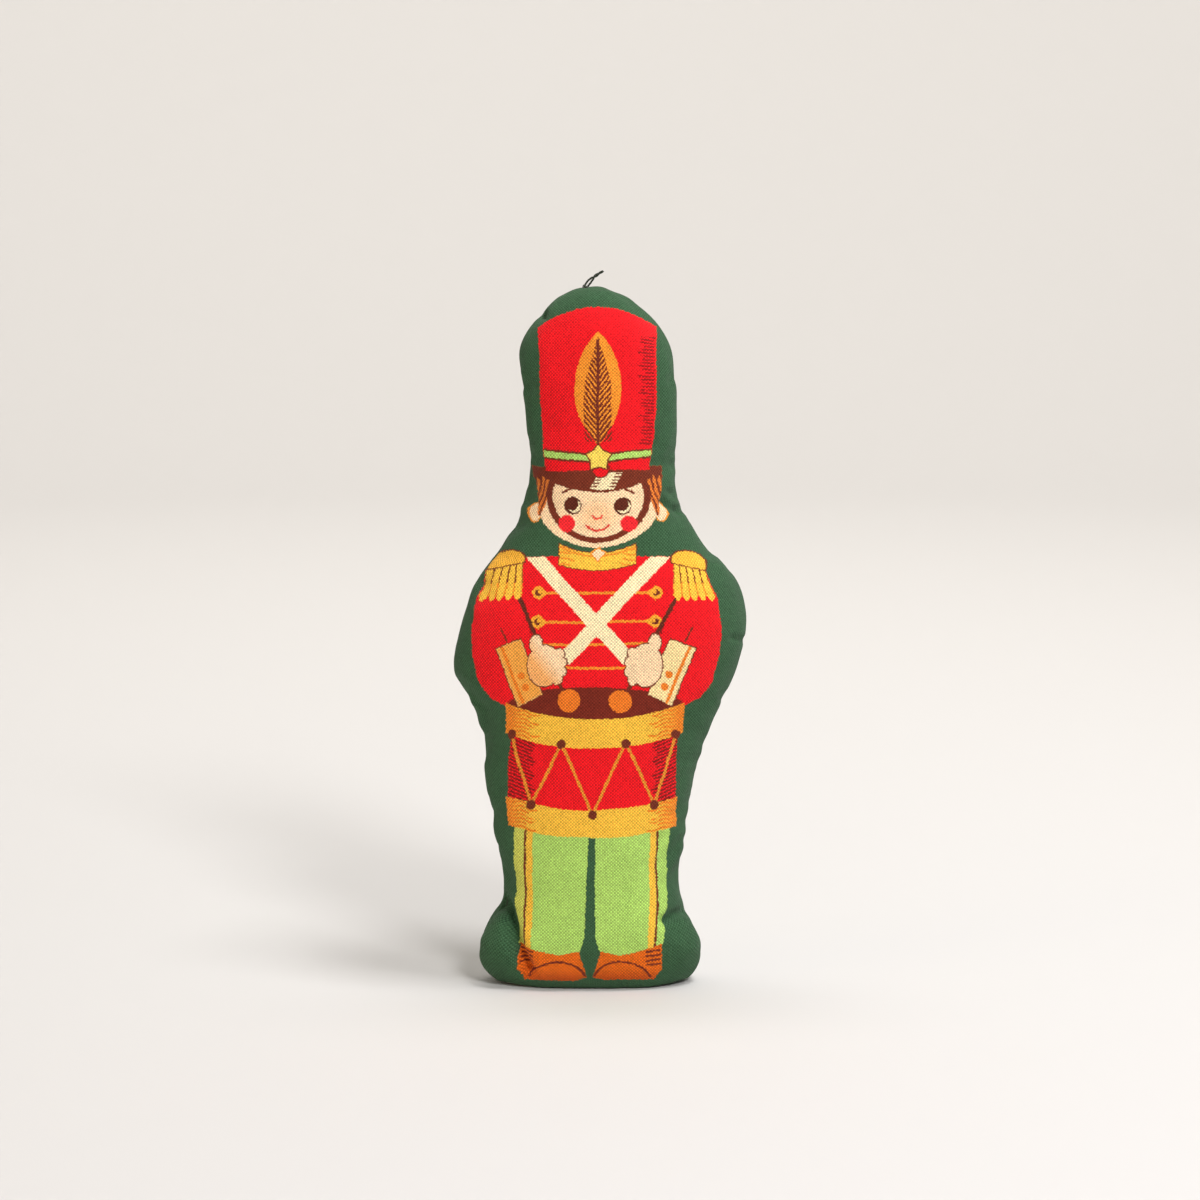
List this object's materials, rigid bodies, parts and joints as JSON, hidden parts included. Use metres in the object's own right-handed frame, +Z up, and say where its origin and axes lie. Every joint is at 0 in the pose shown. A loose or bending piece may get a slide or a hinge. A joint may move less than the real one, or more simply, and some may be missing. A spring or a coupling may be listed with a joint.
{
  "type": "stuffed cloth ornament",
  "caption": "Stuffed cloth toy-soldier drummer ornament: two sewn panels, printed front and plain green back, filled with stuffing, with a short knotted hanging thread; stands on its flat base",
  "frame": {"origin": "On the floor, under the middle of the object's bounding box", "axes": "+Z up along the figure's height, the printed front faces -Y, +X is the viewer's right when looking at the front"},
  "size_m": [0.0764, 0.0392, 0.1844],
  "materials": {
    "printed_cotton": "matt plain-weave cotton, printed",
    "green_cotton": "matt plain-weave cotton",
    "sewing_thread": "spun sewing thread",
    "hanging_thread": "two-ply twisted thread",
    "stuffing": "white fibre filling"
  },
  "bodies": {
    "body": {"front_panel": "printed_cotton", "back_panel": "green_cotton", "needle_thread": "sewing_thread", "bobbin_thread": "sewing_thread", "closing_thread": "sewing_thread", "hang_thread_inner_end": "hanging_thread", "stuffing_left_foot": "stuffing", "stuffing_right_foot": "stuffing", "stuffing_legs": "stuffing", "stuffing_chest": "stuffing", "stuffing_left_arm": "stuffing", "stuffing_right_arm": "stuffing", "stuffing_head": "stuffing", "stuffing_hat": "stuffing"},
    "hang_thread": {"hang_thread": "hanging_thread"}
  },
  "joints": [
    {"name": "hang_thread_swing", "type": "hinge", "parent": "body", "child": "hang_thread", "pos_m": [-0.00374, 0, 0.17983], "axis": [1, 0, 0], "range_deg": [-70, 70], "stiffness_Nm_per_rad": 0.00002}
  ]
}
